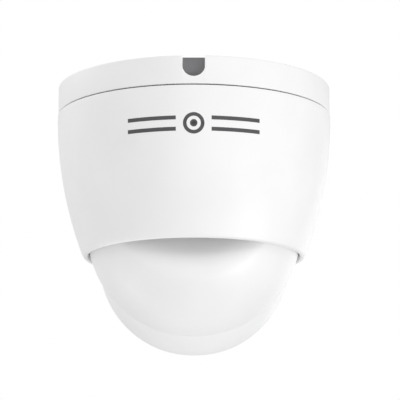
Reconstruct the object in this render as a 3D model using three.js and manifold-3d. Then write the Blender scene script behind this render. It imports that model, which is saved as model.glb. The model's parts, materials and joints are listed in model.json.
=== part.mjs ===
// A ball camera on a round mounting base, in millimetres, +Z up.
// The origin is the middle of the mounting face, which is the top of the base.
// The object hangs below it: a base, a bayonet housing, and a ball that pans on a ring and tilts on two pins.
import * as THREE from 'three';
import { mergeVertices } from 'three/addons/utils/BufferGeometryUtils.js';
import Module from 'manifold-3d';

const wasm = await Module();
wasm.setup();

// ---------------------------------------------------------------- driving dimensions

const GAP = 0.3; // clearance between neighbouring pieces
const BASE_R = 47.8; // mounting base
const BASE_H = 9.8; // height of the base's rim
const PLATE_T = 3; // base plate
const SKIRT_R = 43.6; // ring under the base that the housing twists onto
const SKIRT_BOTTOM = -15.9;
const HOUSING_R = 48; // housing at its top
const HOUSING_TOP = -10.25;
const HOUSING_DROP = 9.35; // how far the side has come in at the lip
const LIP_Z = -60.3; // outer corner of the lip
const BALL_R = 37.4;
const BALL_Z = -50.3; // ball centre
const BALL_WALL = 2.6;
const SOCKET_R = 37.8; // spherical seat around the ball
const HOOD_R = 33.7; // sphere that the sun hood is part of
const HOOD_OFFSET = 19.3; // its centre, along the shell axis
const HOOD_WALL = 2.2;
const SHELL_DIP = 24; // degrees the shell axis points below the horizontal
const LENS_DIP = 40; // degrees the lens axis points below the horizontal
const GLAND_RISE = 70; // degrees the cable gland points above the horizontal, at the back
const WINDOW_PLANE = 32.6; // flat face of the ball around the window
const RIM_PLANE = 41.8; // rim of the hood, along the lens axis
const HOOD_TOP = -11.3; // the hood ends this far below the ball's centre when tilted up to its stop
const HOOD_FRONT = 32; // and this far in front of it
const TILT_UP = 10; // degrees
const NOTCH_W = 7.7; // cable channel
const NOTCH_DEPTH = 7.25;
const HOLE_X = 0; // cable hole in the base
const HOLE_Y = -22;
const FIXING_CIRCLE_R = 31; // screw holes
const FIXING_HOLE_R = 2.2;
const PIN_R = 1.35; // tilt pins
const BORE_R = 39.4; // housing bore around the gimbal ring
const SHELF_Z = -53.7; // top of the spherical seat
const LEDGE_Z = -43; // ledge that carries the friction ring
const THREAD_R = 41.9; // threaded bore of the retainer
const THREAD_TOP = -32.7;
const SEAL_GROOVE = { inner: 45.8, outer: 47.2, depth: 1 }; // in the housing's top face
const TOP_BORE = 45.2; // housing bore above its bayonet tabs
const TAB_BORE = 45.5; // and below them

const ROUND = 40; // sides of a large round
const BALL_SIDES = 32;
const SMALL = 12; // sides of a small round
const INNER_SIDES = 20; // sides of the ball's inner face

// Distance of the split between the ball's two shells: where the ball and the hood's sphere meet.
const SPLIT = (HOOD_OFFSET ** 2 + BALL_R ** 2 - HOOD_R ** 2) / (2 * HOOD_OFFSET);

// ---------------------------------------------------------------- materials

const finish = (color, roughness, metalness = 0) =>
  new THREE.MeshStandardMaterial({ color, roughness, metalness });
const WHITE = finish(0xeeeeee, 0.42);
const GREY_RUBBER = finish(0x6c6b6d, 0.75);
const BLACK_RUBBER = finish(0x1c1c1d, 0.8);
const BLACK_PLASTIC = finish(0x18181a, 0.5);
const STEEL = finish(0xb9bbbe, 0.3, 1);
const ALUMINIUM = finish(0xa9abad, 0.4, 1);
const POLYMER = finish(0xd8d5cb, 0.5);
const GLASS = finish(0x20242a, 0.05);
const BOARD = finish(0x14502c, 0.5);
const CHIP = finish(0x101012, 0.45);
const BRASS = finish(0xb89a4a, 0.35, 1);

// ---------------------------------------------------------------- solids

const rad = (degrees) => (degrees * Math.PI) / 180;

/** A closed geometry as a solid with its faces pointing out. */
function solid(geometry) {
  const g = geometry.clone();
  g.deleteAttribute('normal');
  g.deleteAttribute('uv');
  const merged = mergeVertices(g, 1e-4);
  const p = merged.attributes.position.array;
  const faces = [];
  const index = merged.index.array;
  let volume = 0;
  for (let i = 0; i < index.length; i += 3) {
    const [a, b, c] = [index[i], index[i + 1], index[i + 2]];
    if (a === b || b === c || a === c) continue;
    faces.push(a, b, c);
    const [u, v, w] = [a, b, c].map((k) => new THREE.Vector3().fromArray(p, 3 * k));
    volume += u.dot(v.cross(w));
  }
  if (volume < 0) faces.reverse();
  const data = { numProp: 3, vertProperties: new Float32Array(p), triVerts: new Uint32Array(faces) };
  return new wasm.Manifold(new wasm.Mesh(data));
}

/** Turns a profile of [radius, height] points about Z. It closes on itself or ends on the axis. */
function lathe(profile, sides = ROUND) {
  const points = profile.map(([r, z]) => new THREE.Vector2(r, z));
  const onAxis = points[0].x === 0 && points.at(-1).x === 0;
  if (!onAxis) points.push(points[0].clone());
  return new THREE.LatheGeometry(points, sides).rotateX(Math.PI / 2);
}

const ring = (inner, outer, low, high, sides = ROUND) =>
  lathe([[inner, low], [outer, low], [outer, high], [inner, high]], sides);

const disc = (r, low, high, sides = SMALL) => lathe([[0, low], [r, low], [r, high], [0, high]], sides);

/** Points of a circle about (0, centre) from one angle to the other, in degrees above the horizontal. */
function arc(r, centre, from, to, steps) {
  const points = [];
  for (let i = 0; i <= steps; i++) {
    const a = rad(from + ((to - from) * i) / steps);
    const onAxis = Math.abs(Math.cos(a)) < 1e-9;
    points.push([onAxis ? 0 : r * Math.cos(a), centre + r * Math.sin(a)]);
  }
  return points;
}

const sphere = (r, sides = BALL_SIDES) => lathe(arc(r, 0, -90, 90, sides / 2), sides);

function block(x0, x1, y0, y1, z0, z1) {
  const g = new THREE.BoxGeometry(x1 - x0, y1 - y0, z1 - z0);
  return g.translate((x0 + x1) / 2, (y0 + y1) / 2, (z0 + z1) / 2);
}

/** A curved block between two radii and two angles. */
function arcBlock(inner, outer, middle, width, low, high) {
  const [a, b] = [rad(middle - width / 2), rad(middle + width / 2)];
  const shape = new THREE.Shape();
  shape.absarc(0, 0, outer, a, b, false);
  shape.absarc(0, 0, inner, b, a, true);
  const g = new THREE.ExtrudeGeometry(shape, { depth: high - low, bevelEnabled: false, curveSegments: 6 });
  return g.translate(0, 0, low);
}

const hexagon = (radius, low, high) => disc(radius, low, high, 6);

/** A U-shaped bar along Y: flat at the top, half round at the bottom. */
function channel(width, depth, top, y0, y1) {
  const r = width / 2;
  const centre = -depth + r;
  const shape = new THREE.Shape();
  shape.moveTo(-r, top);
  shape.lineTo(-r, centre);
  shape.absarc(0, centre, r, Math.PI, 2 * Math.PI, false);
  shape.lineTo(r, top);
  shape.closePath();
  const g = new THREE.ExtrudeGeometry(shape, { depth: y1 - y0, bevelEnabled: false, curveSegments: 10 });
  return g.rotateX(Math.PI / 2).translate(0, y1, 0);
}

/** A direction that dips below the horizontal at the front (+Y), as a turn of +Z. */
const dipTurn = (degrees) => new THREE.Matrix4().makeRotationX(-rad(90 + degrees));
const shellTurn = dipTurn(SHELL_DIP);
const lensTurn = dipTurn(LENS_DIP);
const glandTurn = new THREE.Matrix4().makeRotationX(rad(90 - GLAND_RISE));
const toX = new THREE.Matrix4().makeRotationY(Math.PI / 2);
const toFar = new THREE.Matrix4().makeRotationX(-Math.PI / 2);
const ventTurn = new THREE.Matrix4().makeRotationY(rad(38));

const turned = (geometry, matrix) => geometry.applyMatrix4(matrix);
const moved = (geometry, x, y, z) => geometry.translate(x, y, z);

/** Everything further than distance along a direction (a turn of +Z). */
const beyond = (matrix, distance) => turned(block(-90, 90, -90, 90, distance, distance + 180), matrix);

/** Everything nearer than distance along a direction. */
const within = (matrix, distance) => turned(block(-90, 90, -90, 90, distance - 180, distance), matrix);

function toGeometry(manifold) {
  const mesh = manifold.getMesh();
  const g = new THREE.BufferGeometry();
  g.setAttribute('position', new THREE.BufferAttribute(mesh.vertProperties, 3));
  g.setIndex(new THREE.BufferAttribute(mesh.triVerts, 1));
  g.computeVertexNormals();
  return g;
}

/** Adds a named piece to a group. */
function piece(group, name, shape, material) {
  const geometry = shape.isBufferGeometry ? toGeometry(solid(shape)) : toGeometry(shape);
  const mesh = new THREE.Mesh(geometry, material);
  mesh.name = name;
  group.add(mesh);
  return mesh;
}

// ---------------------------------------------------------------- base

const FIXING_ANGLES = [90, 210, 330];
const LUG_ANGLES = [30, 150, 270];
const LUG_WIDTH = 24;
const LUG_TOP = -13.6;
const LUG_R = 44.8;
const TAB_TOP = -11.3;
const GASKET = { inner: 38, outer: 41, bottom: -0.8, top: -0.1 };
const POCKET_R = 7.5;

function mountingBase() {
  const edge = 0.8;
  const skirtInner = SKIRT_R - 1.8;
  const profile = [
    [0, -PLATE_T],
    [skirtInner, -PLATE_T],
    [skirtInner, SKIRT_BOTTOM],
    [SKIRT_R, SKIRT_BOTTOM],
    [SKIRT_R, -BASE_H],
    [BASE_R - GAP, -BASE_H],
    [BASE_R, -BASE_H + GAP],
    ...arc(edge, -edge, 0, 90, 3).map(([r, z]) => [BASE_R - edge + r, z]),
    [0, 0],
  ];
  const bossBottom = -NOTCH_DEPTH - 1.6;
  const bossHalf = NOTCH_W / 2 + 1.5;
  let base = solid(lathe(profile));
  base = base.add(solid(block(-bossHalf, bossHalf, -SKIRT_R, HOLE_Y, bossBottom, -PLATE_T + 0.5)));
  base = base.add(solid(moved(disc(POCKET_R + 1.8, bossBottom, -PLATE_T + 0.5, 24), HOLE_X, HOLE_Y, 0)));
  base = base.subtract(solid(channel(NOTCH_W, NOTCH_DEPTH, 1, -BASE_R - 2, HOLE_Y)));
  base = base.subtract(solid(moved(disc(POCKET_R, -NOTCH_DEPTH, 1, 24), HOLE_X, HOLE_Y, 0)));
  base = base.subtract(solid(moved(disc(6, bossBottom - 1, 1, 20), HOLE_X, HOLE_Y, 0)));
  const { inner, outer, bottom } = GASKET;
  base = base.subtract(solid(ring(inner - GAP, outer + GAP, bottom - GAP, 1)));
  for (const angle of FIXING_ANGLES) {
    const [x, y] = [FIXING_CIRCLE_R * Math.cos(rad(angle)), FIXING_CIRCLE_R * Math.sin(rad(angle))];
    const sink = [[0, -PLATE_T - 1], [4.4, -PLATE_T - 1], [4.4, -PLATE_T + 0.2], [FIXING_HOLE_R, -0.6]];
    const hole = lathe([...sink, [FIXING_HOLE_R, 1], [0, 1]], SMALL);
    base = base.subtract(solid(moved(hole, x, y, 0)));
  }
  for (const angle of LUG_ANGLES) {
    base = base.add(solid(arcBlock(SKIRT_R - 1, LUG_R, angle, LUG_WIDTH, SKIRT_BOTTOM + 0.4, LUG_TOP)));
  }
  return base;
}

function baseGasket() {
  const { inner, outer, bottom, top } = GASKET;
  const half = NOTCH_W / 2 + 1;
  return solid(ring(inner, outer, bottom, top)).subtract(solid(block(-half, half, -60, 0, -3, 3)));
}

function cableGrommet() {
  const floor = -NOTCH_DEPTH;
  const [bore, neck, flange] = [2.6, 5.7, 6.9];
  const under = floor - 1.6 - GAP;
  const profile = [
    [bore, under - 1],
    [flange, under - 1],
    [flange, under],
    [neck, under],
    [neck, floor + GAP],
    [flange, floor + GAP],
    [flange, floor + GAP + 1],
    [bore, floor + GAP + 1],
  ];
  return moved(lathe(profile, 24), HOLE_X, HOLE_Y, 0);
}

/** Rubber plug that closes the cable channel a little way in from the rim. */
function cablePlug() {
  const [slack, inset, length] = [0.1, 1.2, 4];
  const front = -BASE_R + inset;
  return channel(NOTCH_W - 2 * slack, NOTCH_DEPTH - slack, -GAP, front, front + length);
}

function housingSeal() {
  const { inner, outer } = SEAL_GROOVE;
  return ring(inner + GAP, outer - GAP, HOUSING_TOP - 0.7, HOUSING_TOP + 0.2);
}

function base() {
  const group = new THREE.Group();
  piece(group, 'mounting_base', mountingBase(), WHITE);
  piece(group, 'base_gasket', baseGasket(), BLACK_RUBBER);
  piece(group, 'cable_grommet', cableGrommet(), BLACK_RUBBER);
  piece(group, 'cable_plug', cablePlug(), GREY_RUBBER);
  piece(group, 'housing_seal', housingSeal(), BLACK_RUBBER);
  return group;
}

// ---------------------------------------------------------------- housing

/** Radius of the housing's outside at a height: nearly straight at the top, rounding in towards the lip. */
function housingRadius(z) {
  const t = (HOUSING_TOP - z) / (HOUSING_TOP - LIP_Z);
  return HOUSING_R - HOUSING_DROP * t ** 2.05;
}

function housingShell() {
  const steps = 9;
  const outside = [];
  for (let i = 0; i <= steps; i++) {
    const z = HOUSING_TOP - 0.3 + ((LIP_Z - HOUSING_TOP + 0.3) * i) / steps;
    outside.push([housingRadius(z), z]);
  }
  const seatBottom = -14.9;
  const seatTop = -(180 / Math.PI) * Math.asin((BALL_Z - SHELF_Z) / SOCKET_R);
  const profile = [
    [HOUSING_R - 0.3, HOUSING_TOP],
    ...outside,
    [38.1, LIP_Z - 0.6],
    [37.3, LIP_Z - 0.7],
    ...arc(SOCKET_R, BALL_Z, seatBottom, seatTop, 3),
    [BORE_R, SHELF_Z],
    [BORE_R, LEDGE_Z],
    [THREAD_R, LEDGE_Z],
    [THREAD_R, THREAD_TOP],
    [43.7, THREAD_TOP + 1.8],
    [45, THREAD_TOP + 9],
    [TAB_BORE, THREAD_TOP + 16],
    [TAB_BORE, TAB_TOP],
    [TOP_BORE, TAB_TOP],
    [TOP_BORE, HOUSING_TOP],
  ];
  let shell = solid(lathe(profile));
  const { inner, outer, depth } = SEAL_GROOVE;
  shell = shell.subtract(solid(ring(inner, outer, HOUSING_TOP - depth, HOUSING_TOP + 1)));
  for (const angle of LUG_ANGLES) {
    shell = shell.add(solid(arcBlock(SKIRT_R + 0.35, 46, angle, LUG_WIDTH, LUG_TOP + GAP, TAB_TOP)));
  }
  return shell.subtract(solid(lockScrewBody(1.6, 40, 60)));
}

const LOCK_SCREW_Z = -14.3;

/** A radial bar at the far side of the housing. */
function lockScrewBody(r, from, to) {
  return turned(disc(r, from, to), toFar).translate(0, 0, LOCK_SCREW_Z);
}

function lockScrew() {
  const end = 47.3;
  const socket = turned(hexagon(0.85, end - 1.4, end + 1), toFar);
  return solid(lockScrewBody(1.3, SKIRT_R + GAP, end)).subtract(solid(socket.translate(0, 0, LOCK_SCREW_Z)));
}

const FRICTION_TOP = -38.1;
const SPRING_Z = -37.25;
const RETAINER_TOP = -33.5;

/** Friction ring: its inner face is part of the ball's socket. */
function frictionRing() {
  const low = LEDGE_Z + GAP;
  const angle = (z) => (180 / Math.PI) * Math.asin((z - BALL_Z) / SOCKET_R);
  const inside = arc(SOCKET_R, BALL_Z, angle(FRICTION_TOP), angle(low), 2);
  return lathe([[THREAD_R - GAP, low], [THREAD_R - GAP, FRICTION_TOP], ...inside]);
}

/** Wave spring: a thin flat ring that rises and falls around its circle. */
function waveSpring() {
  const [waves, height, thickness] = [4, 0.3, 0.4];
  const g = ring(38.4, 41.3, SPRING_Z - thickness / 2, SPRING_Z + thickness / 2);
  const p = g.attributes.position;
  for (let i = 0; i < p.count; i++) {
    p.setZ(i, p.getZ(i) + height * Math.sin(waves * Math.atan2(p.getY(i), p.getX(i))));
  }
  return g;
}

/** Threaded retainer with three spanner slots. */
function retainerRing() {
  const [low, high] = [SPRING_Z + 0.85, RETAINER_TOP];
  let body = solid(ring(38.2, THREAD_R - GAP, low, high));
  for (const angle of LUG_ANGLES) {
    body = body.subtract(solid(arcBlock(36, 40, angle, 6, high - 1.2, high + 1)));
  }
  return body;
}

function housing() {
  const group = new THREE.Group();
  piece(group, 'housing_shell', housingShell(), WHITE);
  piece(group, 'lock_screw', lockScrew(), STEEL);
  piece(group, 'friction_ring', frictionRing(), POLYMER);
  piece(group, 'wave_spring', waveSpring(), STEEL);
  piece(group, 'retainer_ring', retainerRing(), ALUMINIUM);
  return group;
}

// ---------------------------------------------------------------- gimbal

const SIDES = [['left', -1], ['right', 1]];
const BUSH_R = 2.8;

function gimbalRing() {
  const inner = BALL_R + 0.45;
  const body = solid(ring(inner, BORE_R - 0.4, SHELF_Z + 0.35, LEDGE_Z - GAP));
  const pinHole = turned(disc(PIN_R + GAP, -60, 60), toX).translate(0, 0, BALL_Z);
  return body.subtract(solid(pinHole));
}

/** Tilt pin, from inside the ball's bush to the outside of the gimbal ring. */
function pivotPin(side) {
  const pin = turned(disc(PIN_R, 32.8, BORE_R - 0.6), toX);
  return (side < 0 ? pin.rotateZ(Math.PI) : pin).translate(0, 0, BALL_Z);
}

function gimbal() {
  const group = new THREE.Group();
  piece(group, 'gimbal_ring', gimbalRing(), POLYMER);
  for (const [name, side] of SIDES) {
    piece(group, `pivot_pin_${name}`, pivotPin(side), STEEL);
  }
  return group;
}

// ---------------------------------------------------------------- ball shells, about the ball's centre

const INNER_R = BALL_R - BALL_WALL;
const RELIEF_PLANE = 26.5; // flat at the back of the ball
const RELIEF_RISE = 12; // degrees its direction points above the horizontal
const GLAND_PLANE = 36.2; // flat seat of the cable gland
const reliefTurn = new THREE.Matrix4().makeRotationX(rad(90 - RELIEF_RISE));
const SCREW_CIRCLE_R = 27;
const SCREW_ANGLES = [180, 100, -100]; // about the shell axis, from its lower side
const SCREW_SEAT = 21.2;
const POST_R = 3.4; // bosses that the screws pass through
const SHELL_GROOVE = { inner: 31.9, outer: 32.9, depth: 1 }; // seal groove between the two shells

/** The place of a shell screw, as a shift in the shell frame. */
function screwPlace(angle) {
  return [SCREW_CIRCLE_R * Math.sin(rad(angle)), SCREW_CIRCLE_R * Math.cos(rad(angle))];
}

function ballOutside() {
  const relief = beyond(reliefTurn, RELIEF_PLANE);
  const seat = beyond(glandTurn, GLAND_PLANE);
  return solid(sphere(BALL_R)).subtract(solid(relief)).subtract(solid(seat));
}

const ballInside = () =>
  solid(sphere(INNER_R, INNER_SIDES)).subtract(solid(beyond(reliefTurn, RELIEF_PLANE - BALL_WALL)));

function rearShell() {
  const outside = ballOutside();
  let shell = outside.subtract(ballInside());
  for (const [, side] of SIDES) {
    const boss = turned(disc(5, 31.8, BALL_R), toX);
    shell = shell.add(solid(side < 0 ? boss.rotateZ(Math.PI) : boss).intersect(outside));
  }
  const postLow = 8;
  for (const angle of SCREW_ANGLES) {
    const [x, y] = screwPlace(angle);
    const boss = turned(moved(disc(POST_R, postLow, SPLIT), x, y, 0), shellTurn);
    const rib = block(-1.2, 1.2, 0, 10, postLow, SPLIT).rotateZ(-rad(angle));
    const post = solid(boss).add(solid(turned(moved(rib, x, y, 0), shellTurn)));
    shell = shell.add(post.intersect(outside));
  }
  shell = shell.subtract(solid(beyond(shellTurn, SPLIT - GAP / 2)));
  const { inner, outer, depth } = SHELL_GROOVE;
  const groove = ring(inner, outer, SPLIT - GAP / 2 - depth, SPLIT + 1, BALL_SIDES);
  shell = shell.subtract(solid(turned(groove, shellTurn)));
  for (const angle of SCREW_ANGLES) {
    const [x, y] = screwPlace(angle);
    shell = shell.subtract(solid(turned(moved(disc(1.45, 9, SPLIT + 1, 12), x, y, 0), shellTurn)));
  }
  shell = shell.subtract(solid(turned(disc(BUSH_R + GAP, -60, 60), toX)));
  shell = shell.subtract(solid(turned(disc(4.3, 20, 60), glandTurn)));
  return shell.subtract(solid(turned(disc(3, 20, 60), ventTurn)));
}

/** The hood: a wall of a second sphere around the window, open at its rim and along its top. */
function hood() {
  const shift = new THREE.Vector3(0, 0, HOOD_OFFSET).applyMatrix4(shellTurn);
  const at = (r) => solid(sphere(r).translate(shift.x, shift.y, shift.z));
  const topTurn = new THREE.Matrix4().makeRotationX(-rad(TILT_UP));
  let wall = at(HOOD_R).subtract(at(HOOD_R - HOOD_WALL));
  wall = wall.subtract(solid(beyond(lensTurn, RIM_PLANE)));
  wall = wall.subtract(solid(beyond(topTurn, HOOD_TOP)));
  return wall.subtract(solid(beyond(toFar, HOOD_FRONT)));
}

function frontShell() {
  const ball = solid(sphere(BALL_R)).subtract(solid(turned(disc(20, WINDOW_PLANE, 60, 32), lensTurn)));
  let shell = ball.subtract(ballInside());
  shell = shell.add(solid(turned(disc(19, 27.6, WINDOW_PLANE, 32), lensTurn)).intersect(ball));
  shell = shell.add(hood().subtract(solid(sphere(INNER_R, INNER_SIDES))));
  for (const angle of SCREW_ANGLES) {
    const [x, y] = screwPlace(angle);
    shell = shell.add(solid(turned(moved(disc(POST_R, SPLIT, 40), x, y, 0), shellTurn)).intersect(ball));
  }
  for (const angle of SCREW_ANGLES) {
    const [x, y] = screwPlace(angle);
    shell = shell.subtract(solid(turned(moved(disc(1.45, 9, 60, 12), x, y, 0), shellTurn)));
    shell = shell.subtract(solid(turned(moved(disc(2.4, SCREW_SEAT, 60, 12), x, y, 0), shellTurn)));
  }
  shell = shell.subtract(solid(turned(disc(14.2, 20, 60, 32), lensTurn)));
  shell = shell.subtract(solid(turned(disc(15.9, WINDOW_PLANE - 3, 60, 32), lensTurn)));
  return shell.subtract(solid(within(shellTurn, SPLIT + GAP / 2)));
}

function shellSeal() {
  const { inner, outer } = SHELL_GROOVE;
  const low = SPLIT - GAP / 2 - 0.7;
  return ring(inner + 0.2, outer - 0.2, low, low + 0.8, BALL_SIDES);
}

function shellScrew() {
  const [tip, top] = [10.5, SCREW_SEAT + GAP + 1.5];
  const head = SCREW_SEAT + GAP;
  const body = lathe([[0, tip], [1.15, tip], [1.15, head], [2.1, head], [2.1, top], [0, top]], 12);
  return solid(body).subtract(solid(hexagon(0.9, top - 0.8, top + 1)));
}

function pivotBush(side) {
  const bush = turned(ring(PIN_R + GAP, BUSH_R, 32.2, 37, SMALL), toX);
  return side < 0 ? bush.rotateZ(Math.PI) : bush;
}

/** Membrane plug in the shell's wall. */
const ventPlug = () =>
  lathe([[0, 34], [2.2, 34], [2.7, 34.6], [2.7, 36.6], [1.6, 36.9], [0, 36.9]], SMALL);

// ---------------------------------------------------------------- cable gland, along its own axis

function glandBody() {
  const seat = GLAND_PLANE + GAP;
  const profile = [
    [2.6, 31],
    [4, 31],
    [4, seat],
    [6.6, seat],
    [6.6, seat + 1.7],
    [4.2, seat + 1.7],
    [4.2, seat + 2.6],
    [3.4, seat + 2.6],
    [3.4, seat - 0.6],
    [2.6, seat - 0.6],
  ];
  return lathe(profile, SMALL);
}

function glandNut() {
  const low = GLAND_PLANE + 2 * GAP + 1.7;
  const top = low + 1.8;
  const step = low + 0.95;
  const bore = [[0, low - 1], [4.5, low - 1], [4.5, step], [2.9, step], [2.9, top + 1], [0, top + 1]];
  const cut = lathe(bore, SMALL);
  return solid(hexagon(6.2, low, top)).subtract(solid(cut));
}

const glandLockNut = () => solid(hexagon(6.6, 31.4, 33.2)).subtract(solid(disc(4.3, 30, 35)));

const cableSeal = () => ring(2.2, 3.1, GLAND_PLANE, GLAND_PLANE + 2.7, SMALL);

function gland() {
  const group = new THREE.Group();
  group.applyMatrix4(glandTurn);
  piece(group, 'cable_gland_body', glandBody(), BRASS);
  piece(group, 'cable_gland_nut', glandNut(), BRASS);
  piece(group, 'gland_lock_nut', glandLockNut(), BRASS);
  piece(group, 'cable_seal', cableSeal(), BLACK_RUBBER);
  return group;
}

// ---------------------------------------------------------------- camera module, along the lens axis

const SENSOR_BOARD_Z = 7.4;
const PROCESSOR_BOARD_Z = -4.2;
const BOARD_T = 1.2;
const POST_SPACING = 11; // posts stand at plus and minus this, both ways
const LENS_R = 6.5;
const LED_CIRCLE_R = 10.4;

function lensBarrel() {
  const front = 27.8;
  const profile = [
    [4.2, 11],
    [LENS_R, 11],
    [LENS_R, front - 0.3],
    [LENS_R - 0.3, front],
    [5.6, front],
    [5.4, front - 2],
    [4.2, front - 2],
  ];
  return lathe(profile, 24);
}

const frontElement = () => lathe([[0, 26.1], [5.1, 26.1], [5.1, 26.8], [3, 27.3], [0, 27.5]], 24);

function lensHolder() {
  const top = 17.3;
  const low = SENSOR_BOARD_Z + BOARD_T + GAP;
  return solid(block(-8, 8, -8, 8, low, top)).subtract(solid(disc(LENS_R + GAP, low - 1, top + 1, 24)));
}

/** Domed lamp on the ring board, at an angle about the lens axis. */
function led(angle) {
  const low = 25.5;
  const dome = arc(1.6, low + 1.4, 0, 90, 3);
  const g = lathe([[0, low], [1.6, low], ...dome], 12);
  return g.translate(LED_CIRCLE_R * Math.cos(rad(angle)), LED_CIRCLE_R * Math.sin(rad(angle)), 0);
}

function opticsPieces(group) {
  const front = WINDOW_PLANE;
  piece(group, 'window_gasket', ring(14.6, 15.6, front - 2.7, front - 2.1, 32), BLACK_RUBBER);
  piece(group, 'window_glass', disc(15.6, front - 1.8, front - 0.1, 32), GLASS);
  const [seat, edge, top] = [front + GAP, front + 0.8, front + 1.1];
  const bezel = [[14.4, seat], [16.2, seat], [16.2, edge], [15.9, top], [14.8, top]];
  piece(group, 'window_bezel', lathe(bezel, 32), BLACK_PLASTIC);
  piece(group, 'lens_barrel', lensBarrel(), BLACK_PLASTIC);
  piece(group, 'lens_front_element', frontElement(), GLASS);
  piece(group, 'lens_lock_ring', ring(LENS_R + GAP, 8.2, 17.6, 19.4, 24), ALUMINIUM);
  piece(group, 'lens_holder', lensHolder(), BLACK_PLASTIC);
}

function lampPieces(group) {
  piece(group, 'led_board', ring(LENS_R + 0.7, 13.2, 24, 25.2, 32), BOARD);
  const count = 4;
  for (let i = 0; i < count; i++) {
    piece(group, `infrared_led_${i + 1}`, led(45 + (360 * i) / count), CHIP);
  }
  piece(group, 'light_sensor', block(-1.5, 1.5, 8.9, 11.9, 25.5, 26.7), CHIP);
}

/** Four posts that hold a board off what is in front of it. */
function posts(group, name, low, high) {
  const corners = [[1, 1], [-1, 1], [-1, -1], [1, -1]];
  corners.forEach(([x, y], i) => {
    const post = moved(disc(1.8, low, high, 12), x * POST_SPACING, y * POST_SPACING, 0);
    piece(group, `${name}_${i + 1}`, post, BRASS);
  });
}

function boardPieces(group) {
  const sensorTop = SENSOR_BOARD_Z + BOARD_T;
  piece(group, 'image_sensor', block(-3.5, 3.5, -3, 3, sensorTop + GAP, sensorTop + 1.3), CHIP);
  piece(group, 'sensor_board', block(-14, 14, -14, 14, SENSOR_BOARD_Z, sensorTop), BOARD);
  posts(group, 'front_post', sensorTop + GAP, WINDOW_PLANE - 5.3);
  posts(group, 'rear_post', PROCESSOR_BOARD_Z + BOARD_T + GAP, SENSOR_BOARD_Z - GAP);
  const low = PROCESSOR_BOARD_Z;
  piece(group, 'processor_board', block(-17, 17, -17, 17, low, low + BOARD_T), BOARD);
  piece(group, 'processor_chip', block(-6, 6, -3, 9, low - 1.9, low - GAP), CHIP);
  piece(group, 'memory_chip', block(9, 15, -4, 4, low - 1.5, low - GAP), CHIP);
  piece(group, 'board_connector', block(-6, 6, -15.5, -10.5, low - 5.3, low - GAP), POLYMER);
  piece(group, 'heat_spreader', block(-12, 12, -8, 15, low - 5.2, low - 2.2), ALUMINIUM);
}

function cameraModule() {
  const group = new THREE.Group();
  group.applyMatrix4(lensTurn);
  opticsPieces(group);
  lampPieces(group);
  boardPieces(group);
  return group;
}

// ---------------------------------------------------------------- the ball

function ball() {
  const group = new THREE.Group();
  group.position.z = BALL_Z;
  piece(group, 'ball_rear_shell', rearShell(), WHITE);
  piece(group, 'ball_front_shell', frontShell(), WHITE);
  for (const [name, side] of SIDES) {
    piece(group, `pivot_bush_${name}`, pivotBush(side), POLYMER);
  }
  const shellFrame = new THREE.Group();
  shellFrame.applyMatrix4(shellTurn);
  piece(shellFrame, 'ball_shell_seal', shellSeal(), BLACK_RUBBER);
  SCREW_ANGLES.forEach((angle, i) => {
    const screw = piece(shellFrame, `shell_screw_${i + 1}`, shellScrew(), STEEL);
    screw.position.set(...screwPlace(angle), 0);
  });
  const ventFrame = new THREE.Group();
  ventFrame.applyMatrix4(ventTurn);
  piece(ventFrame, 'vent_plug', ventPlug(), BLACK_PLASTIC);
  group.add(shellFrame, ventFrame, gland(), cameraModule());
  return group;
}

const group = new THREE.Group();
group.add(base(), housing(), gimbal(), ball());

export default group;
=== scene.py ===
"""Ball camera on a round mounting base: the looks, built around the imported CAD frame, in metres."""
import json
import math

import bmesh
import bpy
from mathutils import Matrix, Vector


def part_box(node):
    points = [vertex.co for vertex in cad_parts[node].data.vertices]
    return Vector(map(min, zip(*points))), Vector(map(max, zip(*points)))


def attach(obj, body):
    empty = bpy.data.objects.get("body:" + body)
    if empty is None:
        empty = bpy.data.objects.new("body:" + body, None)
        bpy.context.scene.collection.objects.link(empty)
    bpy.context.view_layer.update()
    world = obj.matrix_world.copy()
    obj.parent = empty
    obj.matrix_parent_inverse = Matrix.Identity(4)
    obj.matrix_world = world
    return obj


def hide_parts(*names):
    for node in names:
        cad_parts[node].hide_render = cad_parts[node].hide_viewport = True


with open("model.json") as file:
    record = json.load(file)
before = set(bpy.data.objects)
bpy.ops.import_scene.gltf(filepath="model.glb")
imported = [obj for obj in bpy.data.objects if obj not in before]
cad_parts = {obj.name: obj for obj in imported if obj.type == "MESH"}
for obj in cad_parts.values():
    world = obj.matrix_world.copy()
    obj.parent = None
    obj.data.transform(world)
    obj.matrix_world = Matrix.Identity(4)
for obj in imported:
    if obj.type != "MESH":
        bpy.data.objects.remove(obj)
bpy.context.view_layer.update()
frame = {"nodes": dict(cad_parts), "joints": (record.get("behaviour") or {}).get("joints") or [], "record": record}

NODES = frame["nodes"]
MM = 0.001

# ------------------------------------------------------------------ sizes, in part from the frame

JOINTS = {j["name"]: j for j in frame["joints"]}
BALL_C = Vector(JOINTS["tilt"]["pos_m"])
BASE_LOW, BASE_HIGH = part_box("mounting_base")
HOUSING_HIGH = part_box("housing_shell")[1]
BASE_R = BASE_HIGH.x
HOUSING_R = HOUSING_HIGH.x
HOUSING_TOP = HOUSING_HIGH.z
BASE_H = 9.8 * MM
PLATE_T = 3 * MM
SKIRT_R = 43.6 * MM
SKIRT_BOTTOM = BASE_LOW.z
BALL_R = 37.4 * MM
BALL_WALL = 2.6 * MM
INNER_R = BALL_R - BALL_WALL
SOCKET_R = 37.8 * MM
HOOD_R = 33.7 * MM
HOOD_OFFSET = 19.3 * MM
HOOD_WALL = 2.2 * MM
SHELL_DIP = 24
LENS_DIP = 40
GLAND_RISE = 70
RELIEF_RISE = 12
RELIEF_PLANE = 26.5 * MM
RELIEF_BLEND = 5 * MM
GLAND_PLANE = 36.2 * MM
WINDOW_PLANE = 32.6 * MM
SPLIT = (HOOD_OFFSET ** 2 + BALL_R ** 2 - HOOD_R ** 2) / (2 * HOOD_OFFSET)
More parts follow.
